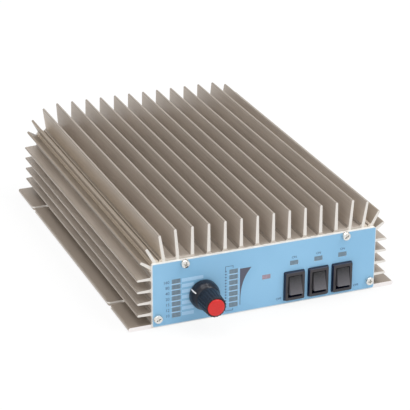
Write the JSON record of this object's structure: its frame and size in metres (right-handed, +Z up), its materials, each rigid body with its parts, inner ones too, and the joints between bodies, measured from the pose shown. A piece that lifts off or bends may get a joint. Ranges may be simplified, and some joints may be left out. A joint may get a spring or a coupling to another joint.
{
  "type": "hf linear amplifier",
  "caption": "Flat finned heat-sink amplifier box with a blue control panel, a turning band knob with a red cap, rocker switches and coaxial sockets behind.",
  "frame": {"origin": "middle of the flat resting face of the bottom cover, under the middle of the heat sink", "axes": "+Z up; the control panel faces -Y; +X is to the right of someone facing the panel"},
  "size_m": [0.172, 0.2651, 0.061],
  "materials": {
    "anodised_sink": "satin bronze-grey anodising, sawn ends bare",
    "blue_panel": "light blue print on aluminium",
    "bare_aluminium": "brushed sheet",
    "plated_screw": "bright nickel plate",
    "black_plastic": "fine moulded texture",
    "knob_plastic": "satin moulded",
    "red_plastic": "smooth",
    "white_plastic": "smooth",
    "brass": "turned",
    "steel": "turned and plated",
    "nickel": "nickel plate",
    "ptfe": "waxy",
    "board": "solder resist",
    "ferrite": "ground",
    "copper": "enamelled wire",
    "lamp_grey": "tinted, unlit",
    "lamp_red": "diffuse, unlit",
    "relay_blue": "moulded",
    "capacitor_brown": "dipped",
    "fuse_green": "translucent"
  },
  "bodies": {
    "amplifier_body": {"antenna_relay": "black_plastic", "band_lamps": "lamp_grey", "blade_fuses": "fuse_green", "bottom_cover": "bare_aluminium", "bottom_cover_screws": "plated_screw", "control_jack_contact": "nickel", "control_jack_insulator": "ptfe", "control_jack_nut": "nickel", "control_jack_shell": "nickel", "electrolytic_capacitors": "black_plastic", "filter_capacitors": "capacitor_brown", "filter_relays": "relay_blue", "filter_toroids": "ferrite", "front_board_pillars": "brass", "front_board_screws": "plated_screw", "front_circuit_board": "board", "front_panel": "blue_panel", "front_panel_screws": "plated_screw", "fuse_block": "black_plastic", "heat_sink": "anodised_sink", "input_transformer": "ferrite", "left_switch_housing": "black_plastic", "main_board_screws": "plated_screw", "main_board_spacers": "brass", "main_circuit_board": "board", "middle_switch_housing": "black_plastic", "output_transformer_core": "ferrite", "output_transformer_winding": "copper", "power_lamps": "lamp_grey", "power_transistors": "nickel", "protection_lamp": "lamp_red", "rear_panel": "bare_aluminium", "rear_panel_screws": "plated_screw", "rf_input_socket": "nickel", "rf_output_socket": "nickel", "right_switch_housing": "black_plastic", "selector_bushing": "nickel", "selector_nut": "nickel", "selector_switch_body": "black_plastic", "socket_contacts": "nickel", "socket_insulators": "ptfe", "socket_screws": "plated_screw", "socket_wires": "copper", "status_lamps": "lamp_grey", "supply_choke": "copper", "supply_gland": "black_plastic", "supply_gland_nut": "black_plastic", "switch_terminals": "nickel", "toroid_windings": "copper", "transistor_screws": "plated_screw"},
    "band_knob": {"selector_knob": "knob_plastic", "knob_cap": "red_plastic", "knob_pointer": "white_plastic", "knob_collet": "brass", "selector_shaft": "steel", "selector_rotor": "black_plastic"},
    "left_rocker_body": {"left_rocker": "black_plastic"},
    "middle_rocker_body": {"middle_rocker": "black_plastic"},
    "right_rocker_body": {"right_rocker": "black_plastic"}
  },
  "joints": [
    {"name": "band_selector_turn", "type": "hinge", "parent": "amplifier_body", "child": "band_knob", "pos_m": [-0.0401, -0.1125, 0.0179], "axis": [0, 1, 0], "range_deg": [-120, 60]},
    {"name": "left_rocker_tilt", "type": "hinge", "parent": "amplifier_body", "child": "left_rocker_body", "pos_m": [0.0183, -0.1106, 0.01275], "axis": [1, 0, 0], "range_deg": [0, 26]},
    {"name": "middle_rocker_tilt", "type": "hinge", "parent": "amplifier_body", "child": "middle_rocker_body", "pos_m": [0.03405, -0.1106, 0.01275], "axis": [1, 0, 0], "range_deg": [0, 26]},
    {"name": "right_rocker_tilt", "type": "hinge", "parent": "amplifier_body", "child": "right_rocker_body", "pos_m": [0.0498, -0.1106, 0.01275], "axis": [1, 0, 0], "range_deg": [0, 26]}
  ]
}
